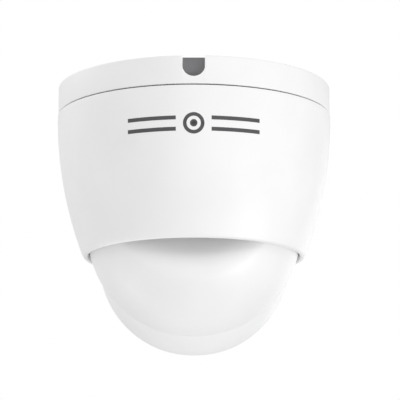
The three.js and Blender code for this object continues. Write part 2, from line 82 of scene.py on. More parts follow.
SPLIT_GAP = 0.04 * MM
NOTCH_W = 7.7 * MM
NOTCH_DEPTH = 7.25 * MM
RIM_PLANE = 41.8 * MM
HOOD_TOP = -11.3 * MM
HOOD_FRONT = 32 * MM
TILT_UP = 10
LIP_Z = -60.3 * MM
SHELF_Z = -53.7 * MM
LEDGE_Z = -43 * MM
THREAD_TOP = -32.7 * MM
TAB_TOP = -11.3 * MM
BORE_R = 39.4 * MM
THREAD_R = 41.9 * MM
TOP_BORE = 45.2 * MM
TAB_BORE = 45.5 * MM
LUG_TOP = -13.6 * MM
SCREW_ANGLES = (180, 100, -100)
CABLE_HOLE = Vector((0, -22 * MM, 0))
POCKET_R = 7.5 * MM
FIXING_CIRCLE_R = 31 * MM
LUG_ANGLES = (30, 150, 270)
LUG_WIDTH = 24
ROUND = 256
CUT_SIDES = 144
LENS_SIDES = 128
SMALL = 64
ON_AXIS = 1e-7


# ------------------------------------------------------------------ directions


def rise_turn(degrees):
    """+Z turned to a direction at the back (-Y) that points above the horizontal."""
    return Matrix.Rotation(math.radians(90 - degrees), 4, "X")


def dip_turn(degrees):
    """+Z turned to a direction at the front (+Y) that points below the horizontal."""
    return Matrix.Rotation(-math.radians(90 + degrees), 4, "X")


AT_BALL = Matrix.Translation(BALL_C)
SHELL_TURN = dip_turn(SHELL_DIP)
LENS_TURN = dip_turn(LENS_DIP)
LENS_FRAME = AT_BALL @ LENS_TURN
SHELL_FRAME = AT_BALL @ SHELL_TURN
RELIEF_DIR = rise_turn(RELIEF_RISE) @ Vector((0, 0, 1))
LENS_DIR = LENS_TURN @ Vector((0, 0, 1))


# ------------------------------------------------------------------ materials


def shader(name):
    mat = bpy.data.materials.new(name)
    mat.use_nodes = True
    tree = mat.node_tree
    return mat, tree, tree.nodes["Principled BSDF"]


def noise(tree, scale, detail=3.0, rough=0.5):
    """Noise over the object's own coordinates; scale is in features per millimetre."""
    coord = tree.nodes.new("ShaderNodeTexCoord")
    node = tree.nodes.new("ShaderNodeTexNoise")
    node.inputs["Scale"].default_value = scale / MM
    node.inputs["Detail"].default_value = detail
    node.inputs["Roughness"].default_value = rough
    tree.links.new(coord.outputs["Object"], node.inputs["Vector"])
    return node


def ramp(tree, source, low, high, start=0.3, end=0.7):
    """A colour that runs from low to high as the source goes from start to end."""
    node = tree.nodes.new("ShaderNodeValToRGB")
    first, last = node.color_ramp.elements
    first.position, first.color = start, (*low, 1)
    last.position, last.color = end, (*high, 1)
    tree.links.new(source, node.inputs["Fac"])
    return node


def spread(tree, source, low, high):
    """A value that runs from low to high over the middle of a noise's range."""
    node = tree.nodes.new("ShaderNodeMapRange")
    node.inputs["From Min"].default_value = 0.3
    node.inputs["From Max"].default_value = 0.7
    node.inputs["To Min"].default_value = low
    node.inputs["To Max"].default_value = high
    tree.links.new(source, node.inputs["Value"])
    return node


def bump(tree, shader_node, height, strength, distance):
    node = tree.nodes.new("ShaderNodeBump")
    node.inputs["Strength"].default_value = strength
    node.inputs["Distance"].default_value = distance
    tree.links.new(height, node.inputs["Height"])
    tree.links.new(node.outputs["Normal"], shader_node.inputs["Normal"])


def surface(name, low, high, rough, metal=0.0, grain=8.0, depth=0.01, mottle=0.15, ior=1.5):
    """A material whose colour and gloss vary softly, with a fine surface grain."""
    mat, tree, bsdf = shader(name)
    broad = noise(tree, mottle)
    colour = ramp(tree, broad.outputs["Fac"], low, high)
    tree.links.new(colour.outputs["Color"], bsdf.inputs["Base Color"])
    patch = noise(tree, mottle * 4)
    gloss = spread(tree, patch.outputs["Fac"], rough[0], rough[1])
    tree.links.new(gloss.outputs["Result"], bsdf.inputs["Roughness"])
    bsdf.inputs["Metallic"].default_value = metal
    bsdf.inputs["IOR"].default_value = ior
    fine = noise(tree, grain, detail=2.0)
    bump(tree, bsdf, fine.outputs["Fac"], 0.35, depth * MM)
    return mat


def turned_metal(name, low, high, rough, pitch=6.0):
    """Metal with fine rings round the object's Z axis left by the lathe."""
    mat, tree, bsdf = shader(name)
    coord = tree.nodes.new("ShaderNodeTexCoord")
    rings = tree.nodes.new("ShaderNodeTexWave")
    rings.wave_type = "RINGS"
    rings.rings_direction = "Z"
    rings.inputs["Scale"].default_value = pitch / MM / 2
    rings.inputs["Distortion"].default_value = 0.6
    tree.links.new(coord.outputs["Object"], rings.inputs["Vector"])
    broad = noise(tree, 0.4)
    colour = ramp(tree, broad.outputs["Fac"], low, high)
    tree.links.new(colour.outputs["Color"], bsdf.inputs["Base Color"])
    gloss = spread(tree, noise(tree, 1.2).outputs["Fac"], rough[0], rough[1])
    tree.links.new(gloss.outputs["Result"], bsdf.inputs["Roughness"])
    bsdf.inputs["Metallic"].default_value = 1.0
    bump(tree, bsdf, rings.outputs["Fac"], 0.2, 0.01 * MM)
    return mat


def shell_white():
    """Satin white moulded plastic with a very fine spark-eroded grain."""
    mat, tree, bsdf = shader("shell_white")
    broad = noise(tree, 0.05, detail=2.0)
    colour = ramp(tree, broad.outputs["Fac"], (0.845, 0.847, 0.845), (0.875, 0.877, 0.876))
    tree.links.new(colour.outputs["Color"], bsdf.inputs["Base Color"])
    gloss = spread(tree, noise(tree, 0.3).outputs["Fac"], 0.42, 0.5)
    tree.links.new(gloss.outputs["Result"], bsdf.inputs["Roughness"])
    bsdf.inputs["IOR"].default_value = 1.48
    fine = noise(tree, 5.0, detail=3.0, rough=0.6)
    bump(tree, bsdf, fine.outputs["Fac"], 0.2, 0.006 * MM)
    return mat


def clear_window():
    """Clear optical window with a faint cool tint."""
    mat, tree, bsdf = shader("window_clear")
    broad = noise(tree, 0.1)
    colour = ramp(tree, broad.outputs["Fac"], (0.93, 0.96, 0.98), (0.97, 0.985, 0.99))
    tree.links.new(colour.outputs["Color"], bsdf.inputs["Base Color"])
    gloss = spread(tree, noise(tree, 0.8).outputs["Fac"], 0.0, 0.02)
    tree.links.new(gloss.outputs["Result"], bsdf.inputs["Roughness"])
    bsdf.inputs["Transmission Weight"].default_value = 1.0
    bsdf.inputs["IOR"].default_value = 1.5
    return mat


def coated_lens():
    """Dark lens glass with a violet and green coating that changes with the angle."""
    mat, tree, bsdf = shader("lens_coated")
    facing = tree.nodes.new("ShaderNodeLayerWeight")
    facing.inputs["Blend"].default_value = 0.35
    blue, violet = (0.012, 0.02, 0.035), (0.09, 0.03, 0.13)
    colour = ramp(tree, facing.outputs["Facing"], blue, violet, 0.1, 0.9)
    middle = colour.color_ramp.elements.new(0.5)
    middle.color = (0.01, 0.07, 0.055, 1)
    tree.links.new(colour.outputs["Color"], bsdf.inputs["Base Color"])
    gloss = spread(tree, noise(tree, 0.5).outputs["Fac"], 0.015, 0.04)
    tree.links.new(gloss.outputs["Result"], bsdf.inputs["Roughness"])
    bsdf.inputs["IOR"].default_value = 1.7
    bsdf.inputs["Coat Weight"].default_value = 0.8
    return mat


def circuit_board():
    """Green solder mask with copper tracks showing through."""
    mat, tree, bsdf = shader("circuit_board")
    coord = tree.nodes.new("ShaderNodeTexCoord")
    brick = tree.nodes.new("ShaderNodeTexBrick")
    brick.inputs["Scale"].default_value = 0.35 / MM
    brick.inputs["Mortar Size"].default_value = 0.012
    brick.inputs["Color1"].default_value = (0.010, 0.085, 0.035, 1)
    brick.inputs["Color2"].default_value = (0.014, 0.105, 0.045, 1)
    brick.inputs["Mortar"].default_value = (0.035, 0.19, 0.07, 1)
    tree.links.new(coord.outputs["Object"], brick.inputs["Vector"])
    tree.links.new(brick.outputs["Color"], bsdf.inputs["Base Color"])
    gloss = spread(tree, noise(tree, 1.0).outputs["Fac"], 0.3, 0.45)
    tree.links.new(gloss.outputs["Result"], bsdf.inputs["Roughness"])
    bump(tree, bsdf, brick.outputs["Fac"], 0.2, 0.02 * MM)
    return mat


WHITE = shell_white()
GREY_RUBBER = surface(
    "grey_rubber", (0.135, 0.132, 0.138), (0.17, 0.167, 0.172), (0.6, 0.75), grain=6,
    depth=0.02
)
BLACK_RUBBER = surface(
    "black_rubber", (0.018, 0.018, 0.018), (0.03, 0.03, 0.03), (0.65, 0.8), grain=5,
    depth=0.03
)
SEAL_RUBBER = surface(
    "seal_rubber", (0.20, 0.20, 0.205), (0.24, 0.24, 0.245), (0.6, 0.75), grain=6, depth=0.02
)
FOAM = surface(
    "foam", (0.03, 0.03, 0.032), (0.055, 0.055, 0.058), (0.85, 0.95), grain=2.2, depth=0.12,
    mottle=0.6
)
BLACK_PLASTIC = surface(
    "black_plastic", (0.012, 0.012, 0.013), (0.02, 0.02, 0.021), (0.35, 0.5), grain=6
)
SATIN_BLACK = surface(
    "satin_black", (0.008, 0.008, 0.009), (0.014, 0.014, 0.015), (0.5, 0.62), grain=10
)
STEEL = turned_metal("steel", (0.55, 0.56, 0.57), (0.66, 0.67, 0.68), (0.22, 0.34))
ALUMINIUM = turned_metal("aluminium", (0.5, 0.51, 0.52), (0.6, 0.61, 0.62), (0.3, 0.42))
BRASS = turned_metal("brass", (0.6, 0.45, 0.18), (0.72, 0.56, 0.25), (0.25, 0.38))
POLYMER = surface("bearing_polymer", (0.62, 0.6, 0.54), (0.7, 0.68, 0.62), (0.38, 0.5))
CHIP = surface(
    "chip", (0.012, 0.012, 0.013), (0.022, 0.022, 0.023), (0.45, 0.6), grain=9, depth=0.015
)
LAMP = surface(
    "lamp_resin", (0.05, 0.012, 0.03), (0.075, 0.02, 0.045), (0.05, 0.1), grain=3, depth=0.002
)
INK = surface(
    "printed_ink", (0.068, 0.066, 0.070), (0.080, 0.078, 0.082), (0.5, 0.6), grain=9,
    depth=0.004
)
CLEAR = clear_window()
COATED = coated_lens()
BOARD = circuit_board()

SLOT_MATERIAL = {
    "shell_white": WHITE,
    "grey_rubber": GREY_RUBBER,
    "black_rubber": BLACK_RUBBER,
    "black_plastic": BLACK_PLASTIC,
    "steel": STEEL,
    "aluminium": ALUMINIUM,
    "bearing_polymer": POLYMER,
    "window_glass": CLEAR,
    "circuit_board": BOARD,
    "chip": CHIP,
    "brass": BRASS,
}
NODE_SLOT = {s["node"]: s["material_slot"] for s in frame["record"]["subparts"]}


# ------------------------------------------------------------------ meshes


def new_object(name, bm, sharp=35):
    """A mesh object from a bmesh, smooth apart from its sharp edges."""
    bmesh.ops.remove_doubles(bm, verts=bm.verts, dist=1e-7)
    bmesh.ops.recalc_face_normals(bm, faces=bm.faces)
    mesh = bpy.data.meshes.new(name)
    bm.to_mesh(mesh)
    bm.free()
    obj = bpy.data.objects.new(name, mesh)
    bpy.context.scene.collection.objects.link(obj)
    smooth(obj, sharp)
    return obj


def smooth(obj, sharp=35):
    obj.data.shade_smooth()
    obj.data.set_sharp_from_angle(angle=math.radians(sharp))


def fillet(corners, steps=5):
    """Profile points from (r, z, fillet radius) corners; a corner with no radius stays sharp."""
    points = []
    count = len(corners)
    for i, (r, z, size) in enumerate(corners):
        here = Vector((r, z))
        if size <= 0:
            points.append(here)
            continue
        before = Vector(corners[i - 1][:2]) - here
        after = Vector(corners[(i + 1) % count][:2]) - here
        half = before.angle(after) / 2
        reach = min(size / math.tan(half), before.length * 0.49, after.length * 0.49)
        a = here + before.normalized() * reach
        b = here + after.normalized() * reach
        for k in range(steps + 1):
            t = k / steps
            points.append((1 - t) ** 2 * a + 2 * t * (1 - t) * here + t ** 2 * b)
    return [(p.x, p.y) for p in points]


def join_rows(bm, pairs, count):
    """Faces between pairs of closed rows of vertices; a row may be a single vertex."""
    for low, high in pairs:
        for k in range(count):
            n = (k + 1) % count
            near = [low[k % len(low)], low[n % len(low)]]
            far = [high[n % len(high)], high[k % len(high)]]
            unique = list(dict.fromkeys(near + far))
            if len(unique) > 2:
                bm.faces.new(unique)


def revolve(profile, segments=ROUND):
    """A bmesh of a profile turned about Z, capped where the profile starts or ends on the axis."""
    bm = bmesh.new()
    rows = []
    for r, z in profile:
        if r < ON_AXIS:
            rows.append([bm.verts.new((0, 0, z))])
            continue
        angles = [2 * math.pi * k / segments for k in range(segments)]
        rows.append([bm.verts.new((r * math.cos(a), r * math.sin(a), z)) for a in angles])
    closed = profile[0][0] > ON_AXIS or profile[-1][0] > ON_AXIS
    pairs = list(zip(rows, rows[1:])) + ([(rows[-1], rows[0])] if closed else [])
    join_rows(bm, pairs, segments)
    return bm


def turned(name, profile, matrix=None, segments=ROUND, sharp=35):
    bm = revolve(profile, segments)
    if matrix is not None:
        bmesh.ops.transform(bm, matrix=matrix, verts=bm.verts)
    return new_object(name, bm, sharp)


def ring_profile(inner, outer, low, high, edge=0.0):
    corners = [(inner, low), (outer, low), (outer, high), (inner, high)]
    return fillet([(r, z, edge) for r, z in corners])


def disc_profile(r, low, high, edge=0.0):
    side = fillet([(0, low, 0), (r, low, edge), (r, high, edge), (0, high, 0)])[1:-1]
    points = [(0, low), *side, (0, high)]
    return points


def block(name, x, y, z, matrix=None):
    bm = bmesh.new()
    bmesh.ops.create_cube(bm, size=1)
    size = Vector((x[1] - x[0], y[1] - y[0], z[1] - z[0]))
    centre = Vector(((x[0] + x[1]) / 2, (y[0] + y[1]) / 2, (z[0] + z[1]) / 2))
    bmesh.ops.scale(bm, vec=size, verts=bm.verts)
    bmesh.ops.translate(bm, vec=centre, verts=bm.verts)
    if matrix is not None:
        bmesh.ops.transform(bm, matrix=matrix, verts=bm.verts)
    return new_object(name, bm)


def extrude_outline(name, outline, low, high, matrix=None):
    """A flat outline of (x, y) points pulled from low to high along Z."""
    bm = bmesh.new()
    bottom = [bm.verts.new((x, y, low)) for x, y in outline]
    top = [bm.verts.new((x, y, high)) for x, y in outline]
    bm.faces.new(bottom)
    bm.faces.new(top)
    for k in range(len(outline)):
        n = (k + 1) % len(outline)
        bm.faces.new((bottom[k], bottom[n], top[n], top[k]))
    if matrix is not None:
        bmesh.ops.transform(bm, matrix=matrix, verts=bm.verts)
    return new_object(name, bm)


def u_outline(width, depth, top, steps=24):
    """A U: flat at the top, half round at the bottom."""
    r = width / 2
    points = [(-r, top)]
    for k in range(steps + 1):
        a = math.pi + math.pi * k / steps
        points.append((r * math.cos(a), -depth + r + r * math.sin(a)))
    points.append((r, top))
    return points


def sector_outline(inner, outer, middle, width, steps=12):
    angles = [math.radians(middle - width / 2 + width * k / steps) for k in range(steps + 1)]
    out = [(outer * math.cos(a), outer * math.sin(a)) for a in angles]
    back = [(inner * math.cos(a), inner * math.sin(a)) for a in reversed(angles)]
    return out + back


def apply_modifiers(obj):
    dg = bpy.context.evaluated_depsgraph_get()
    mesh = bpy.data.meshes.new_from_object(obj.evaluated_get(dg))
    obj.modifiers.clear()
    obj.data = mesh
    return obj


def boolean(obj, tool, operation="DIFFERENCE"):
    mod = obj.modifiers.new("boolean", "BOOLEAN")
    mod.object = tool
    mod.operation = operation
    mod.solver = "EXACT"
    apply_modifiers(obj)
    bpy.data.objects.remove(tool)
    return obj


def bevel_where(obj, test, width, segments=3, angle=30):
    """Rounds the sharp edges whose middle passes the test."""
    bm = bmesh.new()
    bm.from_mesh(obj.data)
    edges = [
        e
        for e in bm.edges
        if len(e.link_faces) == 2
        and e.calc_face_angle(0) > math.radians(angle)
        and test((e.verts[0].co + e.verts[1].co) / 2)
    ]
    bmesh.ops.bevel(
        bm, geom=edges, offset=width, segments=segments,
        profile=0.5, affect="EDGES", clamp_overlap=True,
    )
    bm.to_mesh(obj.data)
    bm.free()
    smooth(obj)
    return obj


def finish(obj, material, body, *nodes):
    """Gives a piece its material and its body, and hides the CAD nodes that it stands for."""
    obj.data.materials.clear()
    obj.data.materials.append(material)
    for face in obj.data.polygons:
        face.material_index = 0
    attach(obj, body)
    if nodes:
        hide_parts(*nodes)
    return obj


# ------------------------------------------------------------------ base

# an outline's Y becomes up and its pull runs along -Y
ALONG_Y = Matrix.Rotation(math.pi / 2, 4, "X")


def make_base():
    skirt_inner = SKIRT_R - 1.8 * MM
    corners = [
        (skirt_inner, -PLATE_T, 0.5 * MM),
        (skirt_inner, SKIRT_BOTTOM, 0.3 * MM),
        (SKIRT_R, SKIRT_BOTTOM, 0.3 * MM),
        (SKIRT_R, -BASE_H, 0),
        (BASE_R, -BASE_H, 0.28 * MM),
        (BASE_R, 0, 0.5 * MM),
        (0, 0, 0),
    ]
    profile = [(0, -PLATE_T), *fillet(corners)]
    base = turned("base_body", profile)
    boss_low = -NOTCH_DEPTH - 1.6 * MM
    boss_high = -PLATE_T + 0.5 * MM
    half = NOTCH_W / 2 + 1.5 * MM
    boss = block("boss", (-half, half), (-SKIRT_R, CABLE_HOLE.y), (boss_low, boss_high))
    boolean(base, boss, "UNION")
    place = Matrix.Translation(CABLE_HOLE)
    boss = turned("boss", disc_profile(POCKET_R + 1.8 * MM, boss_low, boss_high), place, SMALL)
    boolean(base, boss, "UNION")
    for angle in LUG_ANGLES:
        outline = sector_outline(SKIRT_R - MM, 44.8 * MM, angle, LUG_WIDTH)
        boolean(base, extrude_outline("lug", outline, SKIRT_BOTTOM + 0.4 * MM, LUG_TOP), "UNION")
    outline = u_outline(NOTCH_W, NOTCH_DEPTH, MM)
    boolean(base, extrude_outline("channel", outline, -CABLE_HOLE.y, BASE_R + 2 * MM, ALONG_Y))
    boolean(base, turned("pocket", disc_profile(POCKET_R, -NOTCH_DEPTH, MM), place, SMALL))
    boolean(base, turned("hole", disc_profile(6 * MM, boss_low - MM, MM), place, SMALL))
    boolean(base, turned("groove", ring_profile(37.7 * MM, 41.3 * MM, -1.1 * MM, MM), None, ROUND))
    for angle in (90, 210, 330):
        a = math.radians(angle)
        at = Matrix.Translation((FIXING_CIRCLE_R * math.cos(a), FIXING_CIRCLE_R * math.sin(a), 0))
        low = -PLATE_T - MM
        sink = [
            (0, low),
            (4.4 * MM, low),
            (4.4 * MM, -PLATE_T + 0.2 * MM),
            (2.2 * MM, -0.6 * MM),
            (2.2 * MM, MM),
            (0, MM),
        ]
        boolean(base, turned("fixing", sink, at, SMALL))

    def at_notch(p):
        return p.y < -BASE_R + 2 * MM and abs(p.x) < NOTCH_W / 2 + MM and p.z > -NOTCH_DEPTH - MM

    def at_top(p):
        return p.z > -0.01 * MM and math.hypot(p.x, p.y) < BASE_R - 2 * MM

    bevel_where(base, at_notch, 0.3 * MM)
    bevel_where(base, at_top, 0.25 * MM, 2)
    return finish(base, WHITE, "base", "mounting_base")


def make_plug():
    """Rubber plug in the cable notch, with a face that rounds back at its top and bottom."""
    low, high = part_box("cable_plug")
    r = (high.x - low.x) / 2
    round_at = low.z + r
    rows, columns = 40, 24
    bm = bmesh.new()
    front, back = [], []
    for i in range(rows + 1):
        t = -math.cos(math.pi * i / rows)
        z = (low.z + high.z) / 2 + (high.z - low.z) / 2 * t * 0.999
        half = r if z > round_at else math.sqrt(max(r * r - (z - round_at) ** 2, 0))
        sink = 1.1 * MM * (1 - math.sqrt(max(1 - t**4, 0)))
        across = [half * (2 * k / columns - 1) for k in range(columns + 1)]
        front.append([bm.verts.new((x, low.y + sink, z)) for x in across])
        back.append([bm.verts.new((x, high.y, z)) for x in across])
    for i in range(rows):
        for k in range(columns):
            bm.faces.new((front[i][k], front[i][k + 1], front[i + 1][k + 1], front[i + 1][k]))
            bm.faces.new((back[i][k], back[i + 1][k], back[i + 1][k + 1], back[i][k + 1]))
        for k in (0, columns):
            bm.faces.new((front[i][k], front[i + 1][k], back[i + 1][k], back[i][k]))
    for i in (0, rows):
        for k in range(columns):
            bm.faces.new((front[i][k], front[i][k + 1], back[i][k + 1], back[i][k]))
    return finish(new_object("notch_plug", bm, 40), GREY_RUBBER, "base", "cable_plug")


def make_gasket():
    low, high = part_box("base_gasket")
    ring = turned("foam_gasket", ring_profile(38 * MM, 41 * MM, low.z, high.z, 0.25 * MM))
    half = NOTCH_W / 2 + MM
    boolean(ring, block("gap", (-half, half), (-60 * MM, 0), (-3 * MM, 3 * MM)))
    smooth(ring)
    return finish(ring, FOAM, "base", "base_gasket")


def make_grommet():
    low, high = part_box("cable_grommet")
    flange = (high.x - low.x) / 2
    neck = 5.7 * MM
    floor = -NOTCH_DEPTH
    under = floor - 1.9 * MM
    corners = [
        (2.6 * MM, low.z, 0.3 * MM),
        (flange, low.z, 0.4 * MM),
        (flange, under, 0.2 * MM),
        (neck, under, 0.1 * MM),
        (neck, floor + 0.3 * MM, 0.1 * MM),
        (flange, floor + 0.3 * MM, 0.2 * MM),
        (flange, high.z, 0.4 * MM),
        (2.6 * MM, high.z, 0.5 * MM),
    ]
    grommet = turned("grommet", fillet(corners), Matrix.Translation(CABLE_HOLE), SMALL)
    return finish(grommet, BLACK_RUBBER, "base", "cable_grommet")


def make_seal():
    """Round-section seal in the seam between base and housing."""
    low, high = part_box("housing_seal")
    middle = (low.z + high.z) / 2
    r = high.x - 0.45 * MM
    section = [(r + 0.44 * MM * math.cos(a), middle + 0.44 * MM * math.sin(a)) for a in angles(20)]
    return finish(turned("seam_seal", section), SEAL_RUBBER, "base", "housing_seal")


def angles(count):
    return [2 * math.pi * k / count for k in range(count)]


# ------------------------------------------------------------------ housing


def housing_radius(z):
    """The same falling curve as the CAD housing's side."""
    t = (HOUSING_TOP - z) / (HOUSING_TOP - LIP_Z)
    return HOUSING_R - 9.35 * MM * max(t, 0) ** 2.05


def make_housing():
    steps = 32
    high = HOUSING_TOP - 0.3 * MM
    side = []
    for k in range(steps + 1):
        z = high + (LIP_Z - high) * k / steps
        side.append((housing_radius(z), z))
    rim_corner = (HOUSING_R, HOUSING_TOP, 0.28 * MM)
    top = fillet([(TOP_BORE, HOUSING_TOP, 0), rim_corner, (*side[1], 0)])[1:-1]
    lip = [
        (*side[-2], 0),
        (38.4 * MM, LIP_Z, 1.5 * MM),
        (37.15 * MM, LIP_Z - 0.1 * MM, 0.2 * MM),
        (36.95 * MM, LIP_Z + 1.2 * MM, 0),
    ]
    rim = fillet(lip, 8)[1:]
    low_angle = math.asin((BALL_C.z - LIP_Z - 1.6 * MM) / SOCKET_R)
    high_angle = math.asin((BALL_C.z - SHELF_Z) / SOCKET_R)
    seat = []
    for k in range(9):
        a = -low_angle + (low_angle + high_angle) * k / 8
        seat.append((SOCKET_R * math.cos(a), BALL_C.z + SOCKET_R * math.sin(a)))
    inside = [
        (BORE_R, SHELF_Z),
        (BORE_R, LEDGE_Z),
        (THREAD_R, LEDGE_Z),
        (THREAD_R, THREAD_TOP),
        (43.7 * MM, -30.9 * MM),
        (45 * MM, -23.7 * MM),
        (TAB_BORE, -16.7 * MM),
        (TAB_BORE, TAB_TOP),
        (TOP_BORE, TAB_TOP),
        (TOP_BORE, HOUSING_TOP),
    ]
    housing = turned("housing_body", top + side[1:-1] + rim + seat + inside)
    groove = ring_profile(45.8 * MM, 47.2 * MM, HOUSING_TOP - MM, HOUSING_TOP + MM)
    boolean(housing, turned("groove", groove))
    for angle in LUG_ANGLES:
        outline = sector_outline(SKIRT_R + 0.35 * MM, 46 * MM, angle, LUG_WIDTH)
        boolean(housing, extrude_outline("tab", outline, LUG_TOP + 0.3 * MM, TAB_TOP), "UNION")
    screw_low, screw_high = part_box("lock_screw")
    middle = Vector((0, 0, (screw_low.z + screw_high.z) / 2))
    to_y = Matrix.Translation(middle) @ Matrix.Rotation(-math.pi / 2, 4, "X")
    boolean(housing, turned("screw_hole", disc_profile(1.6 * MM, 40 * MM, 60 * MM), to_y, SMALL))

    def at_screw(p):
        return p.y > 47 * MM and abs(p.x) < 2 * MM and abs(p.z - middle.z) < 2 * MM

    bevel_where(housing, at_screw, 0.15 * MM, 2)
    return finish(housing, WHITE, "housing", "housing_shell")


def make_lock_screw():
    low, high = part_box("lock_screw")
    middle = Vector((0, 0, (low.z + high.z) / 2))
    to_y = Matrix.Translation(middle) @ Matrix.Rotation(-math.pi / 2, 4, "X")
    r = (high.x - low.x) / 2
    screw = turned("set_screw", disc_profile(r, low.y, high.y, 0.2 * MM), to_y, SMALL)
    hexagon = [(0.85 * MM * math.cos(a), 0.85 * MM * math.sin(a)) for a in angles(6)]
    boolean(screw, extrude_outline("socket", hexagon, high.y - 1.4 * MM, high.y + MM, to_y))
    smooth(screw)
    return finish(screw, STEEL, "housing", "lock_screw")


def make_mark():
    """A plain printed mark on the housing: a ring with a dot, between two pairs of bars."""
    z0 = -23.3 * MM
    flat = []

    def bar(x0, x1, y0, y1):
        steps = max(2, int((x1 - x0) / MM) * 2)
        low = [(x0 + (x1 - x0) * k / steps, y0) for k in range(steps + 1)]
        high = [(x0 + (x1 - x0) * k / steps, y1) for k in range(steps + 1)]
        flat.append((low, high))

    for side in (-1, 1):
        for row in (1.9, -1.9):
            a, b = sorted((side * 6 * MM, side * 23 * MM))
            bar(a, b, (row - 0.65) * MM, (row + 0.65) * MM)
    count = 48
    outer = [(3.6 * MM * math.cos(a), 3.6 * MM * math.sin(a)) for a in angles(count)]
    inner = [(2.4 * MM * math.cos(a), 2.4 * MM * math.sin(a)) for a in angles(count)]
    flat.append((inner + inner[:1], outer + outer[:1]))
    dot = [(1.25 * MM * math.cos(a), 1.25 * MM * math.sin(a)) for a in angles(count)]
    flat.append(([(0, 0)] * (count + 1), dot + dot[:1]))

    bm = bmesh.new()
    for low, high in flat:
        layers = []
        for lift in (-0.1 * MM, 0.03 * MM):
            rows = [[bm.verts.new(on_side(x, z0 + y, lift)) for x, y in row] for row in (low, high)]
            layers.append(rows)
        (a0, a1), (b0, b1) = layers
        for k in range(len(low) - 1):
            bm.faces.new((b0[k], b0[k + 1], b1[k + 1], b1[k]))
            bm.faces.new((a0[k], a1[k], a1[k + 1], a0[k + 1]))
            bm.faces.new((a0[k], a0[k + 1], b0[k + 1], b0[k]))
            bm.faces.new((a1[k], b1[k], b1[k + 1], a1[k + 1]))
        bm.faces.new((a0[0], b0[0], b1[0], a1[0]))
        bm.faces.new((a0[-1], a1[-1], b1[-1], b0[-1]))
    for face in [f for f in bm.faces if f.calc_area() < 1e-14]:
        bm.faces.remove(face)
    return finish(new_object("printed_mark", bm), INK, "housing")


def on_side(x, z, lift):
    """A point on the housing's near side, x along its surface, lifted off it."""
    r = housing_radius(z) + lift
    a = x / housing_radius(z)
    return (r * math.sin(a), -r * math.cos(a), z)


# ------------------------------------------------------------------ ball


def smooth_min(a, b, k):
    h = max(k - abs(a - b), 0) / k
    return min(a, b) - h * h * k / 4


def ball_radius(direction, wall=0.0):
    """Radius of the ball's outside (or its inside, with a wall) along a direction."""
    r = BALL_R - wall
    back = direction.dot(RELIEF_DIR)
    if back > 0.3:
        r = smooth_min(r, (RELIEF_PLANE - wall) / back, RELIEF_BLEND)
    return r


def shell_grid(start, end, rings, radius):
    """Rows of points about the shell axis, between two polar angles, at radius(direction)."""
    rows = []
    for k in range(rings + 1):
        polar = math.radians(start + (end - start) * k / rings)
        row = []
        for a in angles(ROUND):
            out = math.sin(polar)
            d = Vector((out * math.cos(a), out * math.sin(a), math.cos(polar)))
            d = SHELL_TURN.to_3x3() @ d
            row.append(BALL_C + d * radius(d))
        if k == 0 and abs(math.sin(polar)) < 1e-6:
            row = row[:1]
        rows.append(row)
    return rows


def skin(rows, close):
    """A bmesh through rows of points; the first or last row may be a single point."""
    bm = bmesh.new()
    made = [[bm.verts.new(p) for p in row] for row in rows]
    pairs = list(zip(made, made[1:])) + ([(made[-1], made[0])] if close else [])
    count = max(len(row) for row in made)
    join_rows(bm, pairs, count)
    return bm


def split_angle(r, distance):
    """Polar angle, in degrees, where a sphere meets a plane across the shell axis."""
    return math.degrees(math.acos(distance / r))


def make_rear_shell():
    distance = SPLIT - SPLIT_GAP / 2
    outer = shell_grid(180, split_angle(BALL_R, distance), 96, ball_radius)
    inner = shell_grid(180, split_angle(INNER_R, distance), 48, lambda d: ball_radius(d, BALL_WALL))
    shell = new_object("ball_back", skin(outer + inner[::-1], False))
    groove = ring_profile(31.9 * MM, 32.9 * MM, SPLIT - 1.15 * MM, SPLIT + MM)
    boolean(shell, turned("groove", groove, SHELL_FRAME))
    for side in (-1, 1):
        across = AT_BALL @ Matrix.Rotation(side * math.pi / 2, 4, "Y")
        boss = turned("boss", disc_profile(5 * MM, 31.8 * MM, 36.6 * MM), across, SMALL)
        boolean(shell, boss, "UNION")
        boolean(shell, turned("pin_hole", disc_profile(3.1 * MM, 30 * MM, 60 * MM), across, SMALL))
    gland = AT_BALL @ rise_turn(GLAND_RISE)
    boolean(shell, turned("gland_seat", disc_profile(12 * MM, GLAND_PLANE, 60 * MM), gland, SMALL))
    boolean(shell, turned("gland_hole", disc_profile(4.3 * MM, 20 * MM, 60 * MM), gland, SMALL))
    vent = AT_BALL @ Matrix.Rotation(math.radians(38), 4, "Y")
    boolean(shell, turned("vent_hole", disc_profile(3 * MM, 20 * MM, 60 * MM), vent, SMALL))
    smooth(shell)
    return finish(shell, WHITE, "ball", "ball_rear_shell")


def half_space(turn, distance):
    """A large block beyond a distance along a direction, about the ball's centre."""
    reach = 90 * MM
    far = distance + 2 * reach
    return block("cut", (-reach, reach), (-reach, reach), (distance, far), AT_BALL @ turn)


def round_body(r):
    """A plain sphere about the ball's centre, for trimming."""
    half = [(r * math.sin(math.pi * k / 64), r * math.cos(math.pi * k / 64)) for k in range(1, 64)]
    return turned("cut", [(0, r), *half, (0, -r)], SHELL_FRAME, CUT_SIDES)


